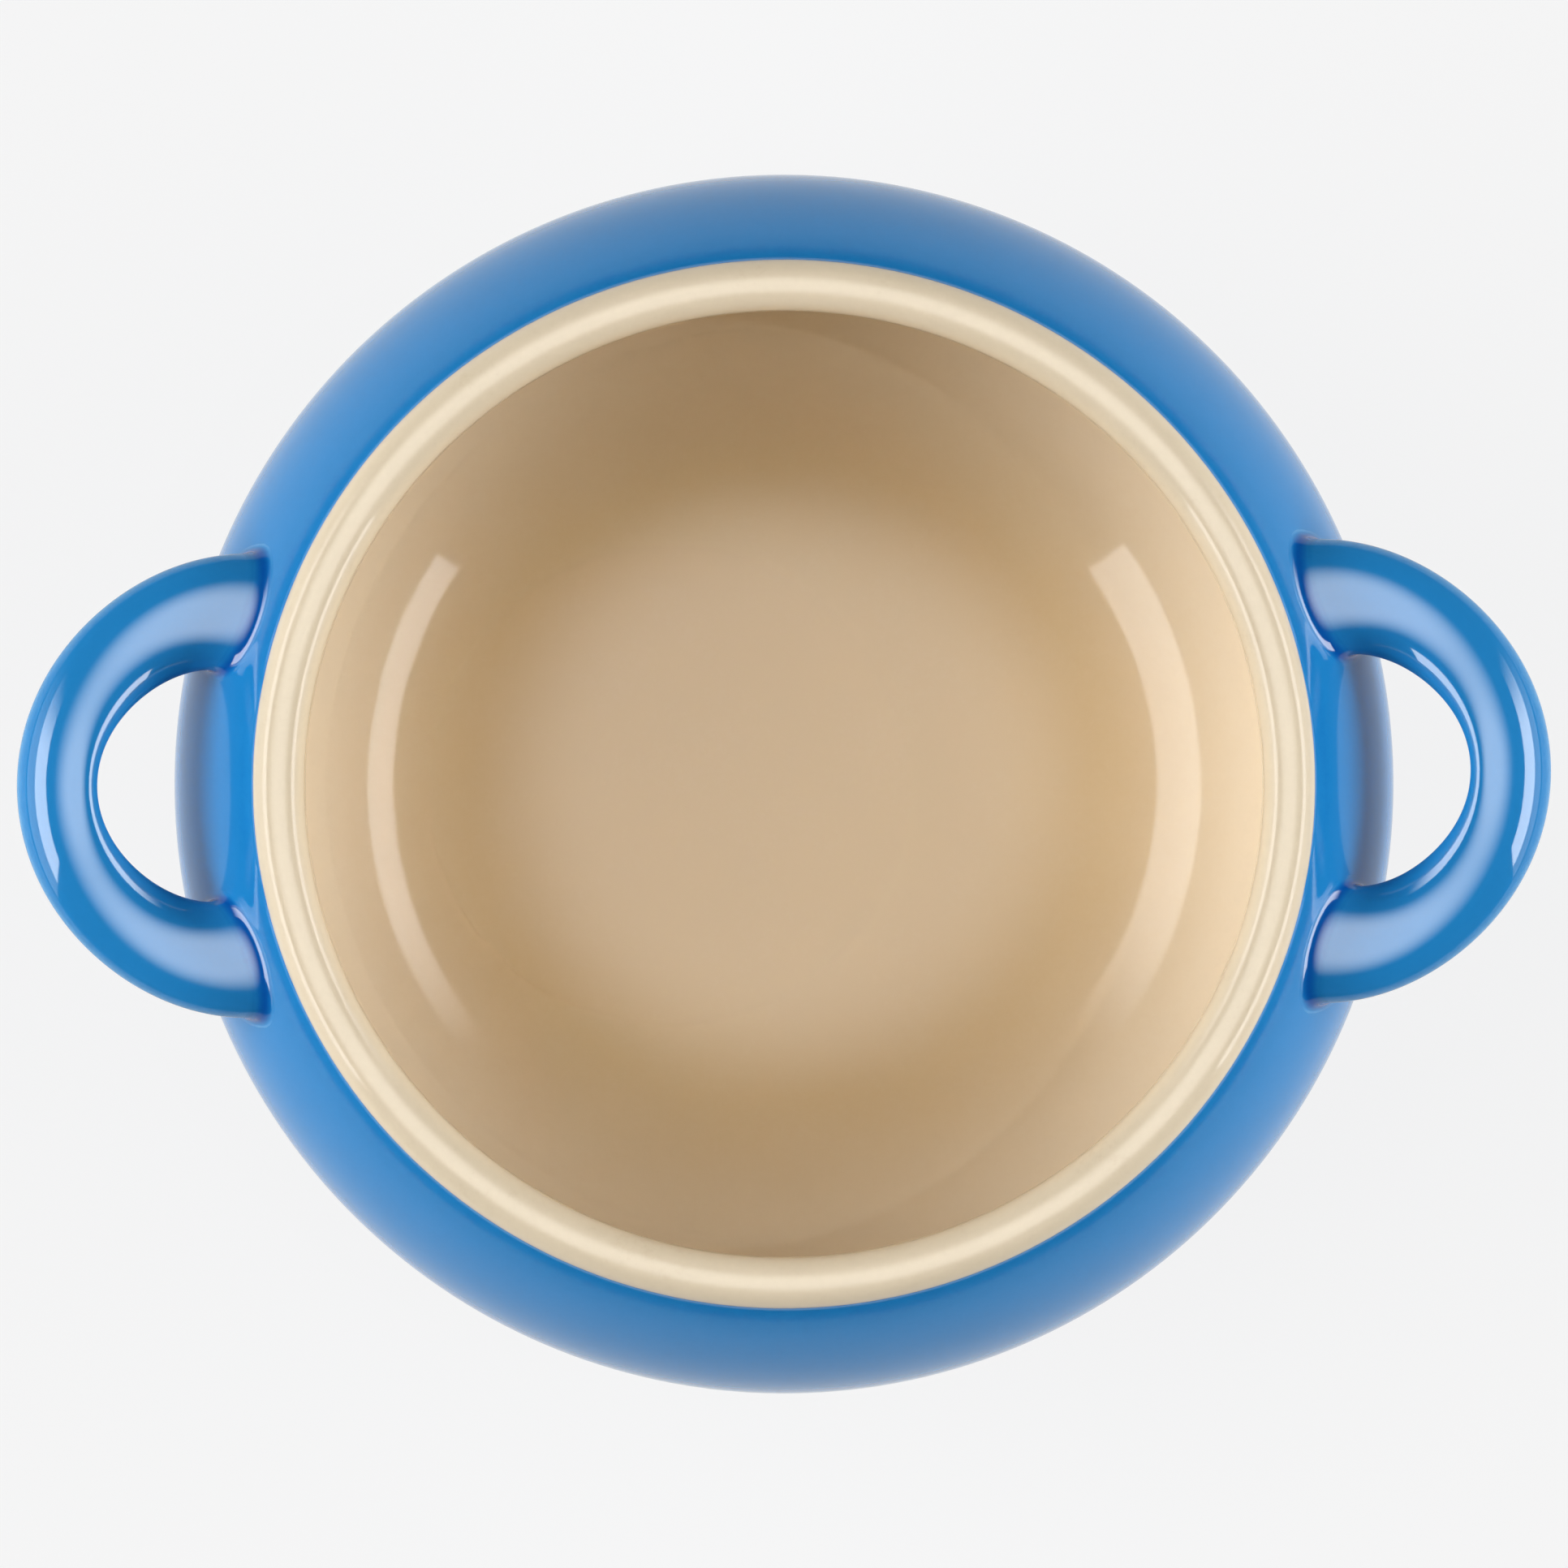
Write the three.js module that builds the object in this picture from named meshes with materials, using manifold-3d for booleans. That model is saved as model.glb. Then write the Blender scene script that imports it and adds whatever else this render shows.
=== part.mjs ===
// A small open stoneware pot with two loop handles: the clay body, a cream glaze coat inside and
// over the rim, a blue glaze coat outside, and the handles luted to the shoulder.
// Millimetres, +Z up. The origin is on the pot's axis in the plane of its foot, and +X points
// to the right handle.

import * as THREE from 'three';
import { mergeVertices } from 'three/addons/utils/BufferGeometryUtils.js';
import Module from 'manifold-3d';

// Pot, measured over the glaze
const POT_HEIGHT = 50;
const BELLY_DIAMETER = 102;
const SHOULDER_RADIUS = 23; // upright radius of the shoulder, from the belly to the rim
const BASE_FLAT_RADIUS = 25; // where the underside starts to curve up into the belly
const WALL = 4.5;
const FLOOR_THICKNESS = 3.9;
const BOWL_FLAT_RADIUS = 8; // where the floor inside starts to curve up into the wall

// Rim
const RIM_DIAMETER = 86.6;
const RIM_WIDTH = 4.2;
const RIM_LAND = 0.15; // level crest between the roundings
const RIM_EDGE_RADIUS = 2; // outer rounding
const COLLAR_HEIGHT = 0.2; // upright band under the outer rounding
const COLLAR_FILLET = 0.8; // radius of the hollow between the collar and the shoulder

// Foot ring
const FOOT_DIAMETER = 64;
const FOOT_WIDTH = 3.6;
const FOOT_HEIGHT = 1.8;
const FOOT_EDGE_RADIUS = 0.7;

// Glaze coats
const GLAZE = 0.5;
const COAT_GAP = 0.05; // between a coat and the clay, and between the two coats
const GLAZE_LINE_HEIGHT = 4.2; // lower edge of the outside coat

// Handles
const HANDLE_PROJECTION = 12.15; // beyond the belly
const HANDLE_DROP = 7; // from the top of the rim to the middle of the section at the roots
const HANDLE_RISE = 3.1; // of the grip over the roots
const LEG_SPLAY = 0.55; // spread of each leg at its root, beyond the plan circles
const GRIP_ROLL = THREE.MathUtils.degToRad(17); // outward lean of the grip's section
const HANDLE_SKEW = THREE.MathUtils.degToRad(0.6); // both loops sit this far round towards +Y
const HANDLE_OUTER_RADIUS = 18.7; // plan radius of the loop's outer edge
const HANDLE_OPENING_RADIUS = 9.05; // plan radius of the finger opening
const GRIP_WIDTH = 6.75;
const GRIP_CROWN = 2.1; // height of the crowned top over the section's widest line
const GRIP_DEPTH = 3.6; // depth of the rounded underside below that line
const ROOT_CROWN = 2.5;
const ROOT_DEPTH = 5.2;
const ROOT_FILLET = 0.9;
const SEAT_CLEARANCE = 0.3; // round and under each handle root
const WINDOW_OVERRUN = 0.5; // of the cut round a root, past both faces of the outside coat

// Facets
const REVOLVE_SEGMENTS = 48;
const CHORD_TOLERANCE = 0.12;
const LOOP_STEPS = 18;
const FILLET_STEPS = 3;
const SEAT_STEPS = 2;
const SECTION_POINTS = 16;
const REPEAT_DISTANCE = 1e-5;
const BISECTION_STEPS = 40;

// Finishes
const CLAY = { color: 0xc4ab8a, roughness: 0.85, metalness: 0 };
const CREAM_GLAZE = { color: 0xd9bf96, roughness: 0.15, metalness: 0 };
const BLUE_GLAZE = { color: 0x2b83c4, roughness: 0.1, metalness: 0 };

// Places that follow from the sizes
const bellyRadius = BELLY_DIAMETER / 2;
const rimRadius = RIM_DIAMETER / 2;
const mouthRadius = rimRadius - RIM_WIDTH;
const footRadius = FOOT_DIAMETER / 2;
const shoulderCentre = bellyRadius - SHOULDER_RADIUS;
const innerShoulderRadius = SHOULDER_RADIUS - WALL;
const rimEdgeHeight = POT_HEIGHT - RIM_EDGE_RADIUS;
const filletHeight = rimEdgeHeight - COLLAR_HEIGHT;
const filletRise = tangentRise(SHOULDER_RADIUS, rimRadius - shoulderCentre, COLLAR_FILLET);
const bellyHeight = filletHeight - filletRise;
const floorHeight = FOOT_HEIGHT + FLOOR_THICKNESS;
const lipRadius = RIM_WIDTH - RIM_EDGE_RADIUS - RIM_LAND;
const lipCentre = mouthRadius + lipRadius;
const lipRise = tangentRise(innerShoulderRadius, mouthRadius - shoulderCentre, lipRadius);
const lipHeight = bellyHeight + lipRise;
const clayInset = GLAZE + COAT_GAP;
const handleReach = bellyRadius + HANDLE_PROJECTION;
const handleHeight = POT_HEIGHT - HANDLE_DROP;
const loopOuterCentre = handleReach - HANDLE_OUTER_RADIUS;
const loopInnerCentre = handleReach - GRIP_WIDTH - HANDLE_OPENING_RADIUS;
const fullSweep = (2 / 3) * Math.PI; // by here every rail of a loop is well inside the pot

const wasm = await Module();
wasm.setup();

// Height of a small circle's centre over a large one's where the two circles touch; the small
// circle's near side is at the given distance from the large one's centre.
function tangentRise(largeRadius, nearSide, smallRadius) {
  return Math.sqrt((largeRadius + smallRadius) ** 2 - (nearSide + smallRadius) ** 2);
}

// Points of an elliptical arc in the upright half-plane. The count follows from the plain radii,
// not from grow, so that a coat and the clay under it have matching facets.
function arc(centre, radii, from, to, grow) {
  const step = 2 * Math.acos(1 - CHORD_TOLERANCE / Math.max(...radii));
  const count = Math.ceil(Math.abs(to - from) / step);
  const [radiusR, radiusZ] = radii.map((radius) => radius + grow);
  const curve = new THREE.EllipseCurve(...centre, radiusR, radiusZ, from, to, to < from);
  return curve.getPoints(count);
}

const lowerBelly = {
  centre: [BASE_FLAT_RADIUS, bellyHeight],
  radii: [bellyRadius - BASE_FLAT_RADIUS, bellyHeight - FOOT_HEIGHT],
};
const glazeLineAngle = Math.asin((GLAZE_LINE_HEIGHT - bellyHeight) / lowerBelly.radii[1]);

// Outside of the pot from the glaze line up to the collar, inset into the wall
function outsideProfile(inset) {
  const shoulder = [SHOULDER_RADIUS, SHOULDER_RADIUS];
  const fillet = [COLLAR_FILLET, COLLAR_FILLET];
  const filletCentre = [rimRadius + COLLAR_FILLET, filletHeight];
  const filletAngle = Math.atan2(filletRise, filletCentre[0] - shoulderCentre);
  return [
    ...arc(lowerBelly.centre, lowerBelly.radii, glazeLineAngle, 0, -inset),
    ...arc([shoulderCentre, bellyHeight], shoulder, 0, filletAngle, -inset),
    ...arc(filletCentre, fillet, filletAngle + Math.PI, Math.PI, inset),
  ];
}

// Inside of the pot from the rim's outer edge, over the crest and down to the middle of the floor
function insideProfile(inset) {
  const edge = [RIM_EDGE_RADIUS, RIM_EDGE_RADIUS];
  const edgeCentre = [rimRadius - RIM_EDGE_RADIUS, rimEdgeHeight];
  const shoulder = [innerShoulderRadius, innerShoulderRadius];
  const bowl = [bellyRadius - WALL - BOWL_FLAT_RADIUS, bellyHeight - floorHeight];
  const lip = [lipRadius, lipRadius];
  const lipAngle = Math.atan2(lipRise, lipCentre - shoulderCentre);
  return [
    ...arc(edgeCentre, edge, 0, Math.PI / 2, -inset),
    ...arc([lipCentre, POT_HEIGHT - lipRadius], lip, Math.PI / 2, Math.PI, -inset),
    ...arc([lipCentre, lipHeight], lip, Math.PI, Math.PI + lipAngle, -inset),
    ...arc([shoulderCentre, bellyHeight], shoulder, lipAngle, 0, inset),
    ...arc([BOWL_FLAT_RADIUS, bellyHeight], bowl, 0, -Math.PI / 2, inset),
    new THREE.Vector2(0, floorHeight - inset),
  ];
}

// Underside from the axis out to the foot ring, round the ring and up to the glaze line
function footProfile(inset) {
  const edge = [FOOT_EDGE_RADIUS, FOOT_EDGE_RADIUS];
  const innerRadius = footRadius - FOOT_WIDTH;
  const meeting = (footRadius - BASE_FLAT_RADIUS) / (lowerBelly.radii[0] - inset);
  return [
    new THREE.Vector2(0, FOOT_HEIGHT),
    new THREE.Vector2(innerRadius, FOOT_HEIGHT),
    ...arc([innerRadius + FOOT_EDGE_RADIUS, FOOT_EDGE_RADIUS], edge, Math.PI, 1.5 * Math.PI, 0),
    ...arc([footRadius - FOOT_EDGE_RADIUS, FOOT_EDGE_RADIUS], edge, -Math.PI / 2, 0, 0),
    ...arc(lowerBelly.centre, lowerBelly.radii, -Math.acos(meeting), glazeLineAngle, -inset),
  ];
}

function revolve(profile) {
  const isNew = (point, i) => i === 0 || point.distanceTo(profile[i - 1]) > REPEAT_DISTANCE;
  const geometry = new THREE.LatheGeometry(profile.filter(isNew), REVOLVE_SEGMENTS);
  return geometry.rotateX(Math.PI / 2);
}

function clayBody() {
  const outside = outsideProfile(clayInset);
  return revolve([...footProfile(clayInset), ...outside, ...insideProfile(clayInset)]);
}

function innerCoat() {
  return revolve([...insideProfile(GLAZE).reverse(), ...insideProfile(0)]);
}

// The outside coat stops just short of the inside one at the rim's edge
function outerCoat() {
  const top = rimEdgeHeight - COAT_GAP;
  const face = [...outsideProfile(0), new THREE.Vector2(rimRadius, top)];
  const back = [new THREE.Vector2(rimRadius - GLAZE, top), ...outsideProfile(GLAZE).reverse()];
  return revolve([...face, ...back, face[0]]);
}

// The handles are worked out in plan coordinates: x outwards along the handle, y across it.
// A rail runs along the loop at one place round its section: sweep is the angle along the loop,
// 0 at the grip, and turn the angle round the section, 0 at the crest.
function railPoint(sweep, turn) {
  const direction = new THREE.Vector2(Math.cos(sweep), Math.sin(sweep));
  const outer = direction.clone().multiplyScalar(HANDLE_OUTER_RADIUS);
  const inner = direction.clone().multiplyScalar(HANDLE_OPENING_RADIUS);
  outer.x += loopOuterCentre;
  inner.x += loopInnerCentre;
  const lean = Math.tan(GRIP_ROLL) * Math.cos(sweep) ** 2;
  const fall = (lean * Math.sin(turn) * inner.distanceTo(outer)) / 2;
  const plan = inner.lerp(outer, (1 + Math.sin(turn)) / 2);
  plan.y += LEG_SPLAY * Math.sin(sweep) ** 5;
  const upper = Math.cos(turn) > 0;
  const grip = upper ? GRIP_CROWN : GRIP_DEPTH;
  const root = upper ? ROOT_CROWN : ROOT_DEPTH;
  const rise = THREE.MathUtils.lerp(grip, root, Math.sin(sweep) ** 2) * Math.cos(turn);
  const middle = handleHeight + HANDLE_RISE * Math.cos(sweep) ** 2;
  return new THREE.Vector3(plan.x, plan.y, middle - fall + rise);
}

// Step from the middle of the shoulder's upright arc to a point: outwards and up
function fromShoulderArc(point) {
  const across = Math.hypot(point.x, point.y) - shoulderCentre;
  return new THREE.Vector2(across, point.z - bellyHeight);
}

// A point moved straight towards the middle of that arc, or away from it, to the given height
// over the glaze
function ontoShoulder(point, height) {
  const arm = fromShoulderArc(point).setLength(SHOULDER_RADIUS + height);
  const plan = new THREE.Vector2(point.x, point.y).setLength(shoulderCentre + arm.x);
  return new THREE.Vector3(plan.x, plan.y, bellyHeight + arm.y);
}

// Sweep at which a rail comes within the given distance of the shoulder
function sweepAtDistance(turn, distance) {
  let clear = 0;
  let inside = fullSweep;
  for (let i = 0; i < BISECTION_STEPS; i += 1) {
    const middle = (clear + inside) / 2;
    const gap = fromShoulderArc(railPoint(middle, turn)).length() - SHOULDER_RADIUS;
    if (gap > distance) clear = middle;
    else inside = middle;
  }
  return clear;
}

const sectionTurns = Array.from({ length: SECTION_POINTS }, (_, i) => (i / SECTION_POINTS) * 2 * Math.PI);

// Where a rail would meet the shoulder, and which way a root's fillet spreads there
function railMeeting(turn) {
  const sweep = sweepAtDistance(turn, 0);
  const point = railPoint(sweep, turn);
  const opposite = railPoint(sweep, turn + Math.PI);
  return { point, spread: point.clone().sub(opposite).normalize() };
}

// Outline of a root on the shoulder: spread is its distance out from the bare section, and
// height its height over the glaze
function rootOutline(spread, height) {
  return sectionTurns.map((turn) => {
    const meeting = railMeeting(turn);
    return ontoShoulder(meeting.point.addScaledVector(meeting.spread, spread), height);
  });
}

// Rings of a root's fillet, from the shoulder out to where the plain loop starts
function filletRings() {
  const outline = rootOutline(ROOT_FILLET, 0);
  return Array.from({ length: FILLET_STEPS }, (_, step) => sectionTurns.map((turn, i) => {
    const loopEnd = railPoint(sweepAtDistance(turn, ROOT_FILLET), turn);
    const curve = new THREE.QuadraticBezierCurve3(outline[i], railMeeting(turn).point, loopEnd);
    return curve.getPoint(step / FILLET_STEPS);
  }));
}

// Rings of a root's seat, from its middle out to its outline, a clearance above the clay
function seatRings() {
  const height = SEAT_CLEARANCE - clayInset;
  const outline = rootOutline(ROOT_FILLET, height);
  const middle = middleOf(outline);
  return Array.from({ length: SEAT_STEPS + 1 }, (_, step) => outline.map((point) => {
    const between = middle.clone().lerp(point, step / SEAT_STEPS);
    return ontoShoulder(between, height);
  }));
}

// A ring drawn together to one point, which closes a skin's end
function pointRing(point) {
  return Array(SECTION_POINTS).fill(point);
}

function middleOf(ring) {
  const sum = ring.reduce((total, point) => total.add(point), new THREE.Vector3());
  return sum.divideScalar(ring.length);
}

// The same rings on the other side of the handle
function mirrored(rings) {
  return rings.map((ring) => ring.map((point) => new THREE.Vector3(point.x, -point.y, point.z)));
}

// Closed skin over a row of rings, the first and last of which are single points
function skin(rings) {
  const positions = rings.flat().flatMap((point) => point.toArray());
  const indices = [];
  for (let r = 0; r + 1 < rings.length; r += 1) {
    const here = r * SECTION_POINTS;
    const there = here + SECTION_POINTS;
    for (let i = 0; i < SECTION_POINTS; i += 1) {
      const next = (i + 1) % SECTION_POINTS;
      if (r > 0) indices.push(here + i, here + next, there + i);
      if (r + 2 < rings.length) indices.push(here + next, there + next, there + i);
    }
  }
  const geometry = new THREE.BufferGeometry();
  geometry.setAttribute('position', new THREE.Float32BufferAttribute(positions, 3));
  geometry.setIndex(indices);
  geometry.computeVertexNormals();
  return geometry;
}

function handleLoop() {
  const endSweeps = sectionTurns.map((turn) => sweepAtDistance(turn, ROOT_FILLET));
  const loop = Array.from({ length: LOOP_STEPS + 1 }, (_, step) => {
    const share = (2 * step) / LOOP_STEPS - 1;
    return sectionTurns.map((turn, i) => railPoint(share * endSweeps[i], turn));
  });
  const root = [...seatRings(), ...filletRings()];
  return skin([...mirrored(root), ...loop, ...root.reverse()]);
}

// The two plugs that cut a handle's roots out of the outside coat, a clearance larger than them
function rootPlugs() {
  const heights = [WINDOW_OVERRUN, -GLAZE - WINDOW_OVERRUN];
  const outlines = heights.map((height) => rootOutline(ROOT_FILLET + SEAT_CLEARANCE, height));
  const ends = outlines.map((ring, i) => pointRing(ontoShoulder(middleOf(ring), heights[i])));
  const rings = [ends[0], ...outlines, ends[1]];
  return [skin(rings), skin(mirrored(rings).reverse())];
}

function toSolid(geometry) {
  const bare = geometry.clone();
  bare.deleteAttribute('normal');
  bare.deleteAttribute('uv');
  const merged = mergeVertices(bare, REPEAT_DISTANCE);
  const vertProperties = merged.getAttribute('position').array;
  const triVerts = new Uint32Array(merged.getIndex().array);
  return new wasm.Manifold(new wasm.Mesh({ numProp: 3, vertProperties, triVerts }));
}

function toGeometry(solid) {
  const mesh = solid.getMesh();
  const geometry = new THREE.BufferGeometry();
  geometry.setAttribute('position', new THREE.BufferAttribute(mesh.vertProperties, 3));
  geometry.setIndex(new THREE.BufferAttribute(mesh.triVerts, 1));
  geometry.computeVertexNormals();
  return geometry;
}

function outerCoatRoundHandles(azimuths) {
  const plugs = azimuths.flatMap((azimuth) => rootPlugs().map((plug) => plug.rotateZ(azimuth)));
  const cut = plugs.reduce((coat, plug) => coat.subtract(toSolid(plug)), toSolid(outerCoat()));
  return toGeometry(cut);
}

function piece(name, geometry, finish) {
  const mesh = new THREE.Mesh(geometry, new THREE.MeshStandardMaterial(finish));
  mesh.name = name;
  return mesh;
}

const rightAzimuth = HANDLE_SKEW;
const leftAzimuth = Math.PI - HANDLE_SKEW;
const rightHandle = piece('right_handle', handleLoop(), BLUE_GLAZE);
const leftHandle = piece('left_handle', handleLoop(), BLUE_GLAZE);
rightHandle.rotation.z = rightAzimuth;
leftHandle.rotation.z = leftAzimuth;

const pot = new THREE.Group();
pot.name = 'cocotte';
pot.add(piece('stoneware_body', clayBody(), CLAY));
pot.add(piece('inner_glaze', innerCoat(), CREAM_GLAZE));
pot.add(piece('outer_glaze', outerCoatRoundHandles([rightAzimuth, leftAzimuth]), BLUE_GLAZE));
pot.add(rightHandle, leftHandle);

export default pot;
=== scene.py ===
"""A small open stoneware pot with two loop handles: cream glaze inside and over the rim, blue outside."""

import math

import bpy
import numpy as np
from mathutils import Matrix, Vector


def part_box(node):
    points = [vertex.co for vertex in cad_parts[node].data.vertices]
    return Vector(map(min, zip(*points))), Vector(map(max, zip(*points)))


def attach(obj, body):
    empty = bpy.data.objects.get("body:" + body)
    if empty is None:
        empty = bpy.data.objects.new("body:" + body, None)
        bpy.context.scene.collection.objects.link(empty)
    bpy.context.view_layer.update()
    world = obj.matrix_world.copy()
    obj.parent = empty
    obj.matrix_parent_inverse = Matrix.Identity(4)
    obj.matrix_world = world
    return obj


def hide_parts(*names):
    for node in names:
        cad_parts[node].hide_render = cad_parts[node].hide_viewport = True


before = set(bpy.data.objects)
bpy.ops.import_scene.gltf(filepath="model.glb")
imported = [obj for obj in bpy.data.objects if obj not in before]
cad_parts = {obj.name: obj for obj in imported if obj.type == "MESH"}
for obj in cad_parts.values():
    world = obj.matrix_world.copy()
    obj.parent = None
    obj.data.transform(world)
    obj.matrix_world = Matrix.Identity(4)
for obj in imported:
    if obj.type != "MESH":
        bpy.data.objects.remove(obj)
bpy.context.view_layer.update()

# Glaze coats, in metres like every size here
GLAZE = 0.0005
GLAZE_LINE_HEIGHT = 0.0042

# Pot, over the glaze
POT_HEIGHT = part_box("inner_glaze")[1].z
BELLY_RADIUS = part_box("outer_glaze")[1].x
FLOOR_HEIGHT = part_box("inner_glaze")[0].z + GLAZE
SHOULDER_RADIUS = 0.023
BASE_FLAT_RADIUS = 0.025
WALL = 0.0045
BOWL_FLAT_RADIUS = 0.008
OVALITY = 0.0065  # the rim is this much wider along the handles, and narrower across them

# Rim
RIM_RADIUS = 0.0433
RIM_WIDTH = 0.0042
RIM_LAND = 0.00015
RIM_EDGE_RADIUS = 0.002
COLLAR_HEIGHT = 0.0002
COLLAR_FILLET = 0.0008

# Foot ring
FOOT_RADIUS = 0.032
FOOT_WIDTH = 0.0036
FOOT_HEIGHT = 0.0018
FOOT_EDGE_RADIUS = 0.0007

# Handles
HANDLE_PROJECTION = 0.0118
HANDLE_DROP = 0.007
HANDLE_RISE = 0.0031  # of the grip over the legs
LEG_SPLAY = 0.00055
SPLAY_POWER = 5  # how closely the splay keeps to the ends of the legs
GRIP_ROLL = math.radians(16)  # outward lean of the grip's section
HANDLE_SKEW = math.radians(0.6)  # of both handles towards the back
HANDLE_OUTER_RADIUS = 0.0187
HANDLE_OPENING_RADIUS = 0.00905
GRIP_WIDTH = 0.00675
GRIP_CROWN = 0.0021
GRIP_DEPTH = 0.0036
ROOT_CROWN = 0.0025
ROOT_DEPTH = 0.0052
ROOT_FILLET = 0.0009
ROOT_OVERRUN = 0.0004  # how far a root's edge runs on under the outside glaze
ROOT_SINK = 0.0001  # how deep that edge lies

# Depth of the glaze: 0 is thin, PLAIN an even coat and 1 a pool; at the handles' roots the pool also
# stands for painted shade in the crease
PLAIN = 0.5
# The pool at each handle's root is glaze pooling and painted shade: it darkens the crease where the
# handle meets the shoulder
ROOT_POOL_AND_SHADE = 0.5
ROOT_POOL_AND_SHADE_PLACE = -0.45
ROOT_POOL_AND_SHADE_SPREAD = 0.35
ROOT_POOL_AND_SHADE_END = 90.0  # the pool's place at the grip, counted on from the root's fillet
POOLED = 0.6  # from this depth on, an edge isn't thinned
EDGE_THINNING = 0.3
EDGE_POWER = 6  # how closely the thinning keeps to the outer edge of a loop
LEG_START = 0.45  # share of half a loop where the legs begin
LEG_RUN = 0.5
LEG_THICKENING = 0.06
HOLLOW_POOL = 0.14
HOLLOW_DROP = 0.0012
HOLLOW_SPREAD = 0.0011
COLLAR_THINNING = 0.3
FLOOR_POOL = 0.5
FLOOR_POOL_TOP = 0.0165
FLOOR_POOL_RUN = 0.009
RIM_THINNING = 0.28
RIM_THINNING_RUN = 0.002
RIM_EDGE_THINNING = 0.2
EDGE_BAND = 0.0004

# Colours of the glazes by depth, which at the handles' roots also paints shade, and of the clay by grain
BLUE_STOPS = [
    (0.0, (0.14, 0.42, 0.68)),
    (0.4, (0.018, 0.215, 0.52)),
    (0.6, (0.012, 0.193, 0.48)),
    (0.8, (0.004, 0.125, 0.40)),
    (1.0, (0.001, 0.075, 0.33)),
]
CREAM_STOPS = [
    (0.0, (0.42, 0.27, 0.13)),
    (0.2, (0.65, 0.55, 0.40)),
    (0.5, (0.775, 0.66, 0.495)),
    (1.0, (0.70, 0.54, 0.325)),
]
CLAY_STOPS = [
    (0.3, (0.42, 0.30, 0.18)),
    (0.7, (0.58, 0.44, 0.29)),
]
BLUE_IOR = 1.54
CREAM_IOR = 1.33

# Mesh density
ARC_STEP = math.radians(2.5)
LEAST_ARC_STEPS = 3
FLAT_POINTS = 24
LEAST_STEP = 1e-7
REVOLVE_SEGMENTS = 256
SECTION_POINTS = 96
LOOP_STEPS = 140
FILLET_STEPS = 12
WIDEST_SWEEP = 2 * math.pi / 3  # every rail of a loop is inside the pot by here
HALVINGS = 50

# Camera: straight above, rolled a little, over a pot that fills most of the frame
CAMERA_HEIGHT = 0.9
CAMERA_ROLL = math.radians(-0.785)
SENSOR_WIDTH = 36.0
FRAME_WIDTH = 0.1313  # width of the view at the belly

# Floor
FLOOR_HALF_WIDTH = 4.0
FLOOR_GREY = 0.6
FLOOR_ROUGHNESS = 0.9
FLOOR_WHITE = 0.955
FLOOR_WHITE_SHARE = 0.88
REFLECTED_SHARE = 0.68
NEAR_REACH = 0.05
FAR_REACH = 0.35

# Softboxes: radiance, places and sizes
OVERHEAD = 6.4
OVERHEAD_HEIGHT = 1.2
OVERHEAD_WIDTH = 2.0
OVERHEAD_FULL = 0.14  # shares of the card's width, from its middle
OVERHEAD_END = 0.5
CEILING = 1.5
CEILING_PLACE = (-0.5, 0.35, 1.3)
CEILING_WIDTH = 1.0
RIGHT_STRIP = 9.3
RIGHT_ELEVATIONS = (math.radians(17.5), math.radians(35))
LEFT_STRIP = 8.8
LEFT_ELEVATIONS = (math.radians(21.3), math.radians(39.8))
FILL = 1.7  # radiance below the strips
SIDE_DISTANCE = 0.9
SIDE_FRONT = -0.62
SIDE_BACK = 0.85
SIDE_FADE_START = 0.2
SIDE_BOTTOM = 0.06
SIDE_TOP = 1.0
STRIP_SOFTNESS = 0.01  # half the width of a strip's edges, as a slope
WORLD_GREY = 0.03

# Spot into the bowl
BOWL_POWER = 8.0
BOWL_LAMP_PLACE = (0.25, 0, 1.12)
BOWL_LAMP_DISTANCE = 1.1
BOWL_LAMP_BLEND = 0.15
BOWL_LAMP_RADIUS = 0.02

# Places that follow from the sizes
MOUTH_RADIUS = RIM_RADIUS - RIM_WIDTH
SHOULDER_CENTRE = BELLY_RADIUS - SHOULDER_RADIUS
INNER_SHOULDER_RADIUS = SHOULDER_RADIUS - WALL
RIM_EDGE_HEIGHT = POT_HEIGHT - RIM_EDGE_RADIUS
FILLET_HEIGHT = RIM_EDGE_HEIGHT - COLLAR_HEIGHT
LIP_RADIUS = RIM_WIDTH - RIM_EDGE_RADIUS - RIM_LAND
LIP_CENTRE = MOUTH_RADIUS + LIP_RADIUS


def tangent_rise(large_radius, near_side, small_radius):
    """Height of a small circle's centre over a large one's where the two circles touch."""
    return math.sqrt((large_radius + small_radius) ** 2 - (near_side + small_radius) ** 2)


FILLET_RISE = tangent_rise(SHOULDER_RADIUS, RIM_RADIUS - SHOULDER_CENTRE, COLLAR_FILLET)
BELLY_HEIGHT = FILLET_HEIGHT - FILLET_RISE
LIP_RISE = tangent_rise(INNER_SHOULDER_RADIUS, MOUTH_RADIUS - SHOULDER_CENTRE, LIP_RADIUS)
LIP_HEIGHT = BELLY_HEIGHT + LIP_RISE
LOWER_BELLY = (BELLY_RADIUS - BASE_FLAT_RADIUS, BELLY_HEIGHT - FOOT_HEIGHT)
GLAZE_LINE_ANGLE = math.asin((GLAZE_LINE_HEIGHT - BELLY_HEIGHT) / LOWER_BELLY[1])
HANDLE_HEIGHT = POT_HEIGHT - HANDLE_DROP
LOOP_OUTER_CENTRE = BELLY_RADIUS + HANDLE_PROJECTION - HANDLE_OUTER_RADIUS
LOOP_INNER_CENTRE = BELLY_RADIUS + HANDLE_PROJECTION - GRIP_WIDTH - HANDLE_OPENING_RADIUS


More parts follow.
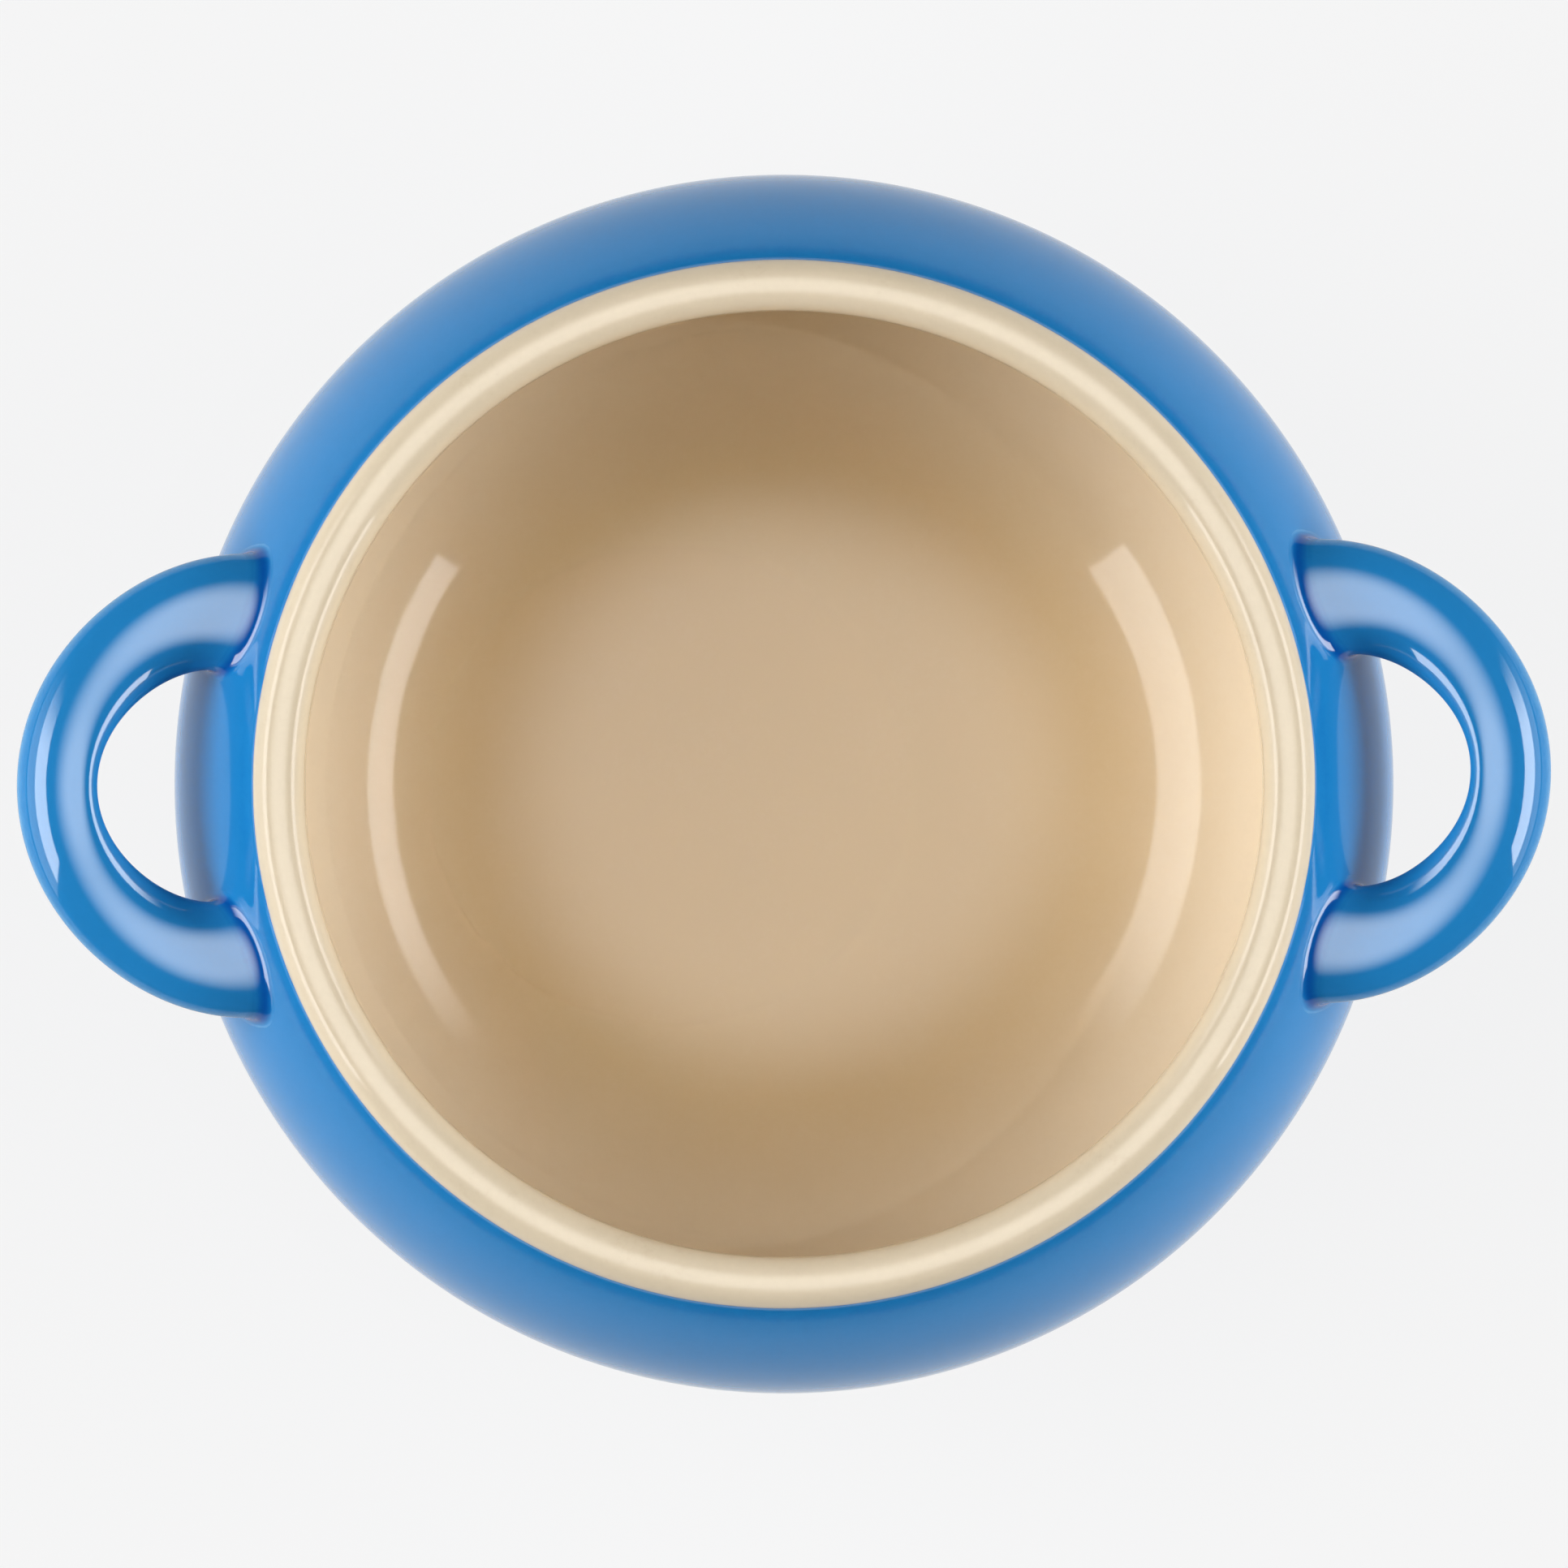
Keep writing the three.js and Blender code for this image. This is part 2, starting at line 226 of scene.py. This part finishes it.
# Profiles, as rows of (radius, height)
def arc(centre, radii, start, end):
    count = max(LEAST_ARC_STEPS, math.ceil(abs(end - start) / ARC_STEP))
    angles = np.linspace(start, end, count + 1)
    return np.stack([centre[0] + radii[0] * np.cos(angles), centre[1] + radii[1] * np.sin(angles)], 1)


def level(start, end, height):
    radii = np.linspace(start, end, FLAT_POINTS)
    return np.stack([radii, np.full(radii.shape, height)], 1)


def outside_profile(inset):
    """From the glaze line up to the collar under the rim."""
    fillet_centre = (RIM_RADIUS + COLLAR_FILLET, FILLET_HEIGHT)
    fillet_angle = math.atan2(FILLET_RISE, fillet_centre[0] - SHOULDER_CENTRE)
    shoulder = SHOULDER_RADIUS - inset
    fillet = COLLAR_FILLET + inset
    lower = (LOWER_BELLY[0] - inset, LOWER_BELLY[1] - inset)
    return np.concatenate([
        arc((BASE_FLAT_RADIUS, BELLY_HEIGHT), lower, GLAZE_LINE_ANGLE, 0),
        arc((SHOULDER_CENTRE, BELLY_HEIGHT), (shoulder, shoulder), 0, fillet_angle),
        arc(fillet_centre, (fillet, fillet), math.pi + fillet_angle, math.pi),
    ])


def inside_profile(inset):
    """From the rim's outer edge, over the crest and down to the middle of the floor."""
    edge = RIM_EDGE_RADIUS - inset
    lip = LIP_RADIUS - inset
    shoulder = INNER_SHOULDER_RADIUS + inset
    lip_angle = math.atan2(LIP_RISE, LIP_CENTRE - SHOULDER_CENTRE)
    bowl = (BELLY_RADIUS - WALL - BOWL_FLAT_RADIUS + inset, BELLY_HEIGHT - FLOOR_HEIGHT + inset)
    return np.concatenate([
        arc((RIM_RADIUS - RIM_EDGE_RADIUS, RIM_EDGE_HEIGHT), (edge, edge), 0, math.pi / 2),
        arc((LIP_CENTRE, POT_HEIGHT - LIP_RADIUS), (lip, lip), math.pi / 2, math.pi),
        arc((LIP_CENTRE, LIP_HEIGHT), (lip, lip), math.pi, math.pi + lip_angle),
        arc((SHOULDER_CENTRE, BELLY_HEIGHT), (shoulder, shoulder), lip_angle, 0),
        arc((BOWL_FLAT_RADIUS, BELLY_HEIGHT), bowl, 0, -math.pi / 2),
        level(BOWL_FLAT_RADIUS, 0, FLOOR_HEIGHT - inset),
    ])


def foot_profile(inset):
    """From the axis out under the base, round the foot ring and up to the glaze line."""
    edge = (FOOT_EDGE_RADIUS, FOOT_EDGE_RADIUS)
    inner = FOOT_RADIUS - FOOT_WIDTH
    lower = (LOWER_BELLY[0] - inset, LOWER_BELLY[1] - inset)
    meeting = -math.acos((FOOT_RADIUS - BASE_FLAT_RADIUS) / lower[0])
    return np.concatenate([
        level(0, inner - FOOT_EDGE_RADIUS, FOOT_HEIGHT),
        arc((inner - FOOT_EDGE_RADIUS, FOOT_HEIGHT - FOOT_EDGE_RADIUS), edge, math.pi / 2, 0),
        arc((inner + FOOT_EDGE_RADIUS, FOOT_EDGE_RADIUS), edge, math.pi, 1.5 * math.pi),
        arc((FOOT_RADIUS - FOOT_EDGE_RADIUS, FOOT_EDGE_RADIUS), edge, -math.pi / 2, 0),
        arc((BASE_FLAT_RADIUS, BELLY_HEIGHT), lower, meeting, GLAZE_LINE_ANGLE),
    ])


# Meshes
def eased(value):
    """A share from 0 to 1 that starts and ends gently."""
    share = np.clip(value, 0, 1)
    return share * share * (3 - 2 * share)


def settled(points):
    """Points of the finished pot: firing drew the rim a little wide along the handles."""
    stretch = eased((points[:, 2] - BELLY_HEIGHT) / (POT_HEIGHT - BELLY_HEIGHT)) * OVALITY
    return points * np.stack([1 + stretch, 1 - stretch, np.ones(len(points))], 1)


def new_piece(name, points, faces):
    mesh = bpy.data.meshes.new(name)
    mesh.from_pydata(settled(points).tolist(), [], faces)
    mesh.validate()
    mesh.polygons.foreach_set("use_smooth", [True] * len(mesh.polygons))
    mesh.update()
    piece = bpy.data.objects.new(name, mesh)
    bpy.context.scene.collection.objects.link(piece)
    return piece


def set_depth_and_shade(piece, depth_and_shade):
    layer = piece.data.attributes.new("depth_and_shade", "FLOAT", "POINT")
    layer.data.foreach_set("value", np.asarray(depth_and_shade, float))


def without_repeats(profile):
    steps = np.linalg.norm(np.diff(profile, axis=0), axis=1)
    return profile[np.concatenate([[True], steps > LEAST_STEP])]


def revolve(name, profile):
    """A solid of revolution; a profile that doesn't start on the axis closes on itself."""
    profile = without_repeats(profile)
    on_axis = profile[0, 0] < LEAST_STEP
    ring = profile[1:-1] if on_axis else profile
    angles = np.arange(REVOLVE_SEGMENTS) * 2 * math.pi / REVOLVE_SEGMENTS
    rows = len(ring)
    x = np.outer(np.cos(angles), ring[:, 0])
    y = np.outer(np.sin(angles), ring[:, 0])
    z = np.tile(ring[:, 1], (REVOLVE_SEGMENTS, 1))
    points = np.stack([x, y, z], 2).reshape(-1, 3)
    faces = []
    for segment in range(REVOLVE_SEGMENTS):
        here = segment * rows
        there = ((segment + 1) % REVOLVE_SEGMENTS) * rows
        for row in range(rows - 1 if on_axis else rows):
            after = (row + 1) % rows
            faces.append((here + row, there + row, there + after, here + after))
        if on_axis:
            faces.append((len(points), there, here))
            faces.append((here + rows - 1, there + rows - 1, len(points) + 1))
    if on_axis:
        ends = np.array([[0, 0, profile[0, 1]], [0, 0, profile[-1, 1]]])
        points = np.concatenate([points, ends])
    return new_piece(name, points, faces)


# Handles
def rail_points(sweep, turn):
    """Points of a loop handle on +X: sweep is the angle along the loop, 0 at the grip, and turn
    the angle round its section, 0 at the crest."""
    across = (1 + np.sin(turn)) / 2
    radius = HANDLE_OPENING_RADIUS + across * (HANDLE_OUTER_RADIUS - HANDLE_OPENING_RADIUS)
    centre = LOOP_INNER_CENTRE + across * (LOOP_OUTER_CENTRE - LOOP_INNER_CENTRE)
    x = centre + radius * np.cos(sweep)
    upper = np.cos(turn) > 0
    grip = np.where(upper, GRIP_CROWN, GRIP_DEPTH)
    root = np.where(upper, ROOT_CROWN, ROOT_DEPTH)
    rise = (grip + (root - grip) * np.sin(sweep) ** 2) * np.cos(turn)
    width = np.hypot(LOOP_OUTER_CENTRE - LOOP_INNER_CENTRE
                     + (HANDLE_OUTER_RADIUS - HANDLE_OPENING_RADIUS) * np.cos(sweep),
                     (HANDLE_OUTER_RADIUS - HANDLE_OPENING_RADIUS) * np.sin(sweep))
    fall = math.tan(GRIP_ROLL) * np.cos(sweep) ** 2 * np.sin(turn) * width / 2
    y = radius * np.sin(sweep) + LEG_SPLAY * np.sin(sweep) ** SPLAY_POWER
    middle = HANDLE_HEIGHT + HANDLE_RISE * np.cos(sweep) ** 2
    return np.stack([x, y, middle - fall + rise], -1)


def shoulder_arm(points):
    """From the middle of the shoulder's upright arc to each point: outwards and up."""
    across = np.hypot(points[..., 0], points[..., 1]) - SHOULDER_CENTRE
    return np.stack([across, points[..., 2] - BELLY_HEIGHT], -1)


def onto_shoulder(points, height):
    """Points brought to a height over the shoulder's glaze."""
    arm = shoulder_arm(points)
    arm = arm / np.linalg.norm(arm, axis=-1, keepdims=True) * (SHOULDER_RADIUS + height)
    plan = points[..., :2] / np.linalg.norm(points[..., :2], axis=-1, keepdims=True)
    plan = plan * (SHOULDER_CENTRE + arm[..., :1])
    return np.concatenate([plan, BELLY_HEIGHT + arm[..., 1:]], -1)


def sweep_at_distance(turn, distance):
    """Sweep at which each rail comes within a distance of the shoulder."""
    clear = np.zeros(turn.shape)
    inside = np.full(turn.shape, WIDEST_SWEEP)
    for _ in range(HALVINGS):
        middle = (clear + inside) / 2
        gap = np.linalg.norm(shoulder_arm(rail_points(middle, turn)), axis=-1) - SHOULDER_RADIUS
        clear = np.where(gap > distance, middle, clear)
        inside = np.where(gap > distance, inside, middle)
    return clear


def root_rings(turn, loop_end):
    """Rings of a root from its seat on the clay, under the glaze and up the fillet to the loop."""
    meeting_sweep = sweep_at_distance(turn, 0)
    meeting = rail_points(meeting_sweep, turn)
    spread = meeting - rail_points(meeting_sweep, turn + math.pi)
    spread = spread / np.linalg.norm(spread, axis=-1, keepdims=True)
    outline = onto_shoulder(meeting + spread * ROOT_FILLET, 0)
    hidden = onto_shoulder(meeting + spread * (ROOT_FILLET + ROOT_OVERRUN), -ROOT_SINK)
    rings = [onto_shoulder(meeting, -GLAZE), hidden]
    for share in np.arange(FILLET_STEPS) / FILLET_STEPS:
        first = (1 - share) ** 2 * outline
        rings.append(first + 2 * share * (1 - share) * meeting + share ** 2 * loop_end)
    return rings


def root_pool_and_shade(place):
    """Depth of glaze at a root, which also paints the shade in its crease: place is -1 at the fillet's
    edge on the shoulder and 0 where the loop begins, and the pool and painted shade are deepest in the
    hollow between them."""
    return PLAIN + ROOT_POOL_AND_SHADE * np.exp(-((place - ROOT_POOL_AND_SHADE_PLACE) / ROOT_POOL_AND_SHADE_SPREAD) ** 2)


def handle_depth_and_shade(turn):
    """Blue glaze pools at the roots, with painted shade in their creases, lies thicker on the legs and
    thins on the loop's outer edge.
    """
    along = np.abs(np.linspace(-1, 1, LOOP_STEPS + 1))
    # The pools at the roots also paint the shade in their creases
    loop = root_pool_and_shade((1 - along) * ROOT_POOL_AND_SHADE_END) + LEG_THICKENING * eased((along - LEG_START) / LEG_RUN)
    root = np.array([PLAIN, PLAIN, *root_pool_and_shade(np.arange(FILLET_STEPS) / FILLET_STEPS - 1)])
    rings = np.concatenate([root, loop, root[::-1]])[:, None]
    edge = np.clip(np.sin(turn), 0, 1) ** EDGE_POWER
    return rings - EDGE_THINNING * edge * (rings < POOLED)


def handle(name, azimuth):
    turn = np.arange(SECTION_POINTS) * 2 * math.pi / SECTION_POINTS
    end = sweep_at_distance(turn, ROOT_FILLET)
    loop = [rail_points(share * end, turn) for share in np.linspace(-1, 1, LOOP_STEPS + 1)]
    root = root_rings(turn, loop[-1])
    mirror = np.array([1, -1, 1])
    rings = [*[ring * mirror for ring in root], *loop, *root[::-1]]
    seat_middle = root[0].mean(0)[None]
    points = np.concatenate([*rings, seat_middle * mirror, seat_middle])
    faces = []
    last = (len(rings) - 1) * SECTION_POINTS
    for place in range(SECTION_POINTS):
        after = (place + 1) % SECTION_POINTS
        for here in range(0, last, SECTION_POINTS):
            there = here + SECTION_POINTS
            faces.append((here + place, here + after, there + after, there + place))
        faces.append((len(points) - 2, after, place))
        faces.append((len(points) - 1, last + place, last + after))
    turned = np.array([[math.cos(azimuth), -math.sin(azimuth), 0],
                       [math.sin(azimuth), math.cos(azimuth), 0],
                       [0, 0, 1]])
    piece = new_piece(name, points @ turned.T, faces)
    set_depth_and_shade(piece, np.concatenate([handle_depth_and_shade(turn).ravel(), [PLAIN, PLAIN]]))
    return piece


# Material nodes
def new_material(name):
    material = bpy.data.materials.new(name)
    material.use_nodes = True
    return material, material.node_tree


def combine(tree, operation, first, second):
    node = tree.nodes.new("ShaderNodeMath")
    node.operation = operation
    tree.links.new(first, node.inputs[0])
    tree.links.new(second, node.inputs[1])
    return node.outputs["Value"]


def length(tree, vector):
    node = tree.nodes.new("ShaderNodeVectorMath")
    node.operation = "LENGTH"
    tree.links.new(vector, node.inputs[0])
    return node.outputs["Value"]


def remap(tree, value, low, high):
    node = tree.nodes.new("ShaderNodeMapRange")
    node.inputs["To Min"].default_value = low
    node.inputs["To Max"].default_value = high
    tree.links.new(value, node.inputs["Value"])
    return node.outputs["Result"]


def smooth(tree, value, zero, one, full=1.0):
    """Rises gently from 0 to full as the value goes from zero to one."""
    node = tree.nodes.new("ShaderNodeMapRange")
    node.interpolation_type = "SMOOTHSTEP"
    node.inputs["From Min"].default_value = zero
    node.inputs["From Max"].default_value = one
    node.inputs["To Max"].default_value = full
    tree.links.new(value, node.inputs["Value"])
    return node.outputs["Result"]


def noise(tree, scale, detail=2.0, roughness=0.5):
    coordinates = tree.nodes.new("ShaderNodeTexCoord")
    texture = tree.nodes.new("ShaderNodeTexNoise")
    texture.inputs["Scale"].default_value = scale
    texture.inputs["Detail"].default_value = detail
    texture.inputs["Roughness"].default_value = roughness
    tree.links.new(coordinates.outputs["Object"], texture.inputs["Vector"])
    return texture.outputs["Fac"]


def ramp(tree, value, stops):
    node = tree.nodes.new("ShaderNodeValToRGB")
    elements = node.color_ramp.elements
    while len(elements) < len(stops):
        elements.new(0.5)
    for element, (position, colour) in zip(elements, stops):
        element.position = position
        element.color = (*colour, 1)
    tree.links.new(value, node.inputs["Fac"])
    return node.outputs["Color"]


def bump(tree, height, distance, strength):
    node = tree.nodes.new("ShaderNodeBump")
    node.inputs["Distance"].default_value = distance
    node.inputs["Strength"].default_value = strength
    tree.links.new(height, node.inputs["Height"])
    return node.outputs["Normal"]


def finish(tree, colour, roughness, normal):
    shader = tree.nodes["Principled BSDF"]
    tree.links.new(colour, shader.inputs["Base Color"])
    tree.links.new(roughness, shader.inputs["Roughness"])
    tree.links.new(normal, shader.inputs["Normal"])


# Materials
def glaze(name, stops, ior):
    """Stops give the colour from where the glaze is thin, at 0, to where it has pooled, at 1; at the
    handles' roots the pooled colours also paint shade.
    """
    material, tree = new_material(name)
    tree.nodes["Principled BSDF"].inputs["IOR"].default_value = ior
    # The depth attribute also carries painted shade in the creases at the handles' roots
    depth_and_shade = tree.nodes.new("ShaderNodeAttribute")
    depth_and_shade.attribute_name = "depth_and_shade"
    cloud = remap(tree, noise(tree, scale=140.0, detail=4.0, roughness=0.6), low=-0.06, high=0.06)
    speck = remap(tree, noise(tree, scale=1400.0, detail=2.0, roughness=0.7), low=-0.05, high=0.05)
    total = combine(tree, "ADD", combine(tree, "ADD", depth_and_shade.outputs["Fac"], cloud), speck)
    gloss = remap(tree, noise(tree, scale=120.0), low=0.04, high=0.09)
    peel = bump(tree, noise(tree, scale=260.0, detail=1.0), distance=0.00002, strength=0.4)
    finish(tree, ramp(tree, total, stops), gloss, peel)
    return material


def bare_clay():
    material, tree = new_material("bare_clay")
    colour = ramp(tree, noise(tree, scale=900.0, detail=4.0), CLAY_STOPS)
    matte = remap(tree, noise(tree, scale=300.0), low=0.75, high=0.95)
    grain = bump(tree, noise(tree, scale=1500.0, detail=4.0), distance=0.00008, strength=0.6)
    finish(tree, colour, matte, grain)
    return material


# Pieces
def dress(piece, node, material):
    piece.data.materials.append(material)
    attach(piece, "root")
    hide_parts(node)


def places(piece):
    return np.array([point.co for point in piece.data.vertices])


def outside_depth(piece):
    """Blue glaze pools in the hollow under the rim and thins on the collar's edge."""
    height = places(piece)[:, 2]
    hollow = np.exp(-((height - FILLET_HEIGHT + HOLLOW_DROP) / HOLLOW_SPREAD) ** 2)
    edge = np.clip((height - RIM_EDGE_HEIGHT + EDGE_BAND) / EDGE_BAND, 0, 1)
    return PLAIN + HOLLOW_POOL * hollow - COLLAR_THINNING * edge


def inside_depth(piece):
    """Cream glaze breaks brown at the rim's outer edge and lies deepest on the floor."""
    place = places(piece)
    height = place[:, 2]
    outer = np.hypot(place[:, 0], place[:, 1]) > LIP_CENTRE
    floor = eased((FLOOR_POOL_TOP - height) / FLOOR_POOL_RUN)
    rim = np.clip((height - LIP_HEIGHT) / RIM_THINNING_RUN, 0, 1)
    edge = np.clip((RIM_EDGE_HEIGHT + EDGE_BAND - height) / EDGE_BAND, 0, 1) * outer
    return PLAIN + FLOOR_POOL * floor - RIM_THINNING * rim - RIM_EDGE_THINNING * edge * rim


def make_pot(blue, cream, clay):
    top = np.array([[RIM_RADIUS, RIM_EDGE_HEIGHT], [RIM_RADIUS - GLAZE, RIM_EDGE_HEIGHT]])
    outside_loop = [outside_profile(0), top, outside_profile(GLAZE)[::-1]]
    inside_loop = [inside_profile(GLAZE)[::-1], inside_profile(0)]
    body_line = [foot_profile(GLAZE), outside_profile(GLAZE), inside_profile(GLAZE)]
    outside = revolve("outside_glaze", np.concatenate(outside_loop))
    inside = revolve("inside_glaze", np.concatenate(inside_loop))
    body = revolve("clay_body", np.concatenate(body_line))
    set_depth_and_shade(outside, outside_depth(outside))
    set_depth_and_shade(inside, inside_depth(inside))
    dress(outside, "outer_glaze", blue)
    dress(inside, "inner_glaze", cream)
    dress(body, "stoneware_body", clay)


def make_handles(blue):
    dress(handle("handle_right", HANDLE_SKEW), "right_handle", blue)
    dress(handle("handle_left", math.pi - HANDLE_SKEW), "left_handle", blue)


# Studio
def grey(value):
    return (value, value, value, 1)


def floor_share(tree):
    """Share of the floor's own white: in the picture everywhere, in reflections only near the pot."""
    path = tree.nodes.new("ShaderNodeLightPath").outputs
    place = tree.nodes.new("ShaderNodeTexCoord").outputs["Object"]
    near = smooth(tree, length(tree, place), FAR_REACH, NEAR_REACH, REFLECTED_SHARE)
    reflected = combine(tree, "MAXIMUM", path["Is Glossy Ray"], path["Is Transmission Ray"])
    shown = combine(tree, "MAXIMUM", path["Is Camera Ray"], combine(tree, "MULTIPLY", reflected, near))
    return remap(tree, shown, low=0.0, high=FLOOR_WHITE_SHARE)


def make_floor():
    half = FLOOR_HALF_WIDTH
    corners = [(-half, -half, 0), (half, -half, 0), (half, half, 0), (-half, half, 0)]
    mesh = bpy.data.meshes.new("floor")
    mesh.from_pydata(corners, [], [(0, 1, 2, 3)])
    floor = bpy.data.objects.new("floor", mesh)
    bpy.context.scene.collection.objects.link(floor)
    material, tree = new_material("floor")
    shader = tree.nodes["Principled BSDF"]
    shader.inputs["Base Color"].default_value = grey(FLOOR_GREY)
    shader.inputs["Roughness"].default_value = FLOOR_ROUGHNESS
    shader.inputs["Specular IOR Level"].default_value = 0.0
    glow = tree.nodes.new("ShaderNodeEmission")
    glow.inputs["Color"].default_value = grey(FLOOR_WHITE)
    mix = tree.nodes.new("ShaderNodeMixShader")
    tree.links.new(floor_share(tree), mix.inputs["Fac"])
    tree.links.new(shader.outputs["BSDF"], mix.inputs[1])
    tree.links.new(glow.outputs["Emission"], mix.inputs[2])
    tree.links.new(mix.outputs["Shader"], tree.nodes["Material Output"].inputs["Surface"])
    mesh.materials.append(material)


def aim(lamp, target):
    lamp.rotation_euler = (Vector(target) - lamp.location).to_track_quat("-Z", "Y").to_euler()


def softbox(name, place, target, size, radiance):
    """An area lamp of plain radiance; its node tree comes back for a gradient."""
    data = bpy.data.lights.new(name, "AREA")
    data.shape = "RECTANGLE"
    data.size, data.size_y = size
    data.energy = radiance * math.pi * size[0] * size[1]
    data.use_nodes = True
    lamp = bpy.data.objects.new(name, data)
    lamp.location = place
    aim(lamp, target)
    lamp.visible_camera = False
    bpy.context.scene.collection.objects.link(lamp)
    return lamp, data.node_tree


def overhead_lamp():
    """A round card over the pot for its reflection, full in the middle and fading to its edge."""
    size = (OVERHEAD_WIDTH, OVERHEAD_WIDTH)
    lamp, tree = softbox("overhead", (0, 0, OVERHEAD_HEIGHT), (0, 0, 0), size, OVERHEAD)
    lamp.visible_diffuse = False
    place = tree.nodes.new("ShaderNodeNewGeometry")
    offset = tree.nodes.new("ShaderNodeVectorMath")
    offset.operation = "DISTANCE"
    offset.inputs[1].default_value = (0.5, 0.5, 0)
    tree.links.new(place.outputs["Parametric"], offset.inputs[0])
    strength = smooth(tree, offset.outputs["Value"], OVERHEAD_END, OVERHEAD_FULL)
    tree.links.new(strength, tree.nodes["Emission"].inputs["Strength"])


def slope_from_pot(tree, position, height):
    """How steeply a point of a lamp stands over the foot of the pot."""
    plan = tree.nodes.new("ShaderNodeVectorMath")
    plan.operation = "MULTIPLY"
    plan.inputs[1].default_value = (1, 1, 0)
    tree.links.new(position, plan.inputs[0])
    return combine(tree, "DIVIDE", height, length(tree, plan.outputs["Vector"]))


def side_lamp(name, side, elevations, radiance):
    """A tall softbox beside the pot: bright between two elevations and dim below them, cut off
    square at the front and fading out at the back."""
    place = (side * SIDE_DISTANCE, (SIDE_FRONT + SIDE_BACK) / 2, (SIDE_BOTTOM + SIDE_TOP) / 2)
    size = (SIDE_BACK - SIDE_FRONT, SIDE_TOP - SIDE_BOTTOM)
    _, tree = softbox(name, place, (0, place[1], place[2]), size, radiance)
    position = tree.nodes.new("ShaderNodeNewGeometry").outputs["Position"]
    split = tree.nodes.new("ShaderNodeSeparateXYZ")
    tree.links.new(position, split.inputs["Vector"])
    slope = slope_from_pot(tree, position, split.outputs["Z"])
    low, high = [math.tan(elevation) for elevation in elevations]
    above = smooth(tree, slope, low - STRIP_SOFTNESS, low + STRIP_SOFTNESS)
    below = smooth(tree, slope, high + STRIP_SOFTNESS, high - STRIP_SOFTNESS)
    filled = remap(tree, above, low=FILL / radiance, high=1.0)
    fading = smooth(tree, split.outputs["Y"], SIDE_BACK, SIDE_FADE_START)
    strength = combine(tree, "MULTIPLY", combine(tree, "MULTIPLY", filled, below), fading)
    tree.links.new(strength, tree.nodes["Emission"].inputs["Strength"])


def ceiling_lamp():
    """A broad weak lamp behind the overhead card, which doesn't show in the gloss."""
    lamp, _ = softbox("ceiling", CEILING_PLACE, (0, 0, 0), (CEILING_WIDTH, CEILING_WIDTH), CEILING)
    lamp.visible_glossy = False


def bowl_lamp():
    """A spot that reaches only into the mouth."""
    data = bpy.data.lights.new("bowl", "SPOT")
    data.energy = BOWL_POWER
    data.spot_size = 2 * math.atan(MOUTH_RADIUS / BOWL_LAMP_DISTANCE)
    data.spot_blend = BOWL_LAMP_BLEND
    data.shadow_soft_size = BOWL_LAMP_RADIUS
    lamp = bpy.data.objects.new("bowl", data)
    lamp.location = BOWL_LAMP_PLACE
    aim(lamp, (0, 0, POT_HEIGHT))
    lamp.visible_glossy = False
    bpy.context.scene.collection.objects.link(lamp)


def make_light():
    overhead_lamp()
    ceiling_lamp()
    bowl_lamp()
    side_lamp("right_softbox", 1, RIGHT_ELEVATIONS, RIGHT_STRIP)
    side_lamp("left_softbox", -1, LEFT_ELEVATIONS, LEFT_STRIP)
    world = bpy.data.worlds.new("studio")
    bpy.context.scene.world = world
    world.use_nodes = True
    world.node_tree.nodes["Background"].inputs["Color"].default_value = grey(WORLD_GREY)


def make_camera():
    data = bpy.data.cameras.new("camera")
    data.sensor_width = SENSOR_WIDTH
    data.lens = SENSOR_WIDTH * (CAMERA_HEIGHT - BELLY_HEIGHT) / FRAME_WIDTH
    camera = bpy.data.objects.new("camera", data)
    camera.location = (0, 0, CAMERA_HEIGHT)
    camera.rotation_euler = (0, 0, CAMERA_ROLL)
    bpy.context.scene.collection.objects.link(camera)
    bpy.context.scene.camera = camera


bpy.context.scene.view_settings.view_transform = "Standard"
blue_glaze = glaze("blue_glaze", BLUE_STOPS, BLUE_IOR)
make_pot(blue_glaze, glaze("cream_glaze", CREAM_STOPS, CREAM_IOR), bare_clay())
make_handles(blue_glaze)
make_floor()
make_light()
make_camera()
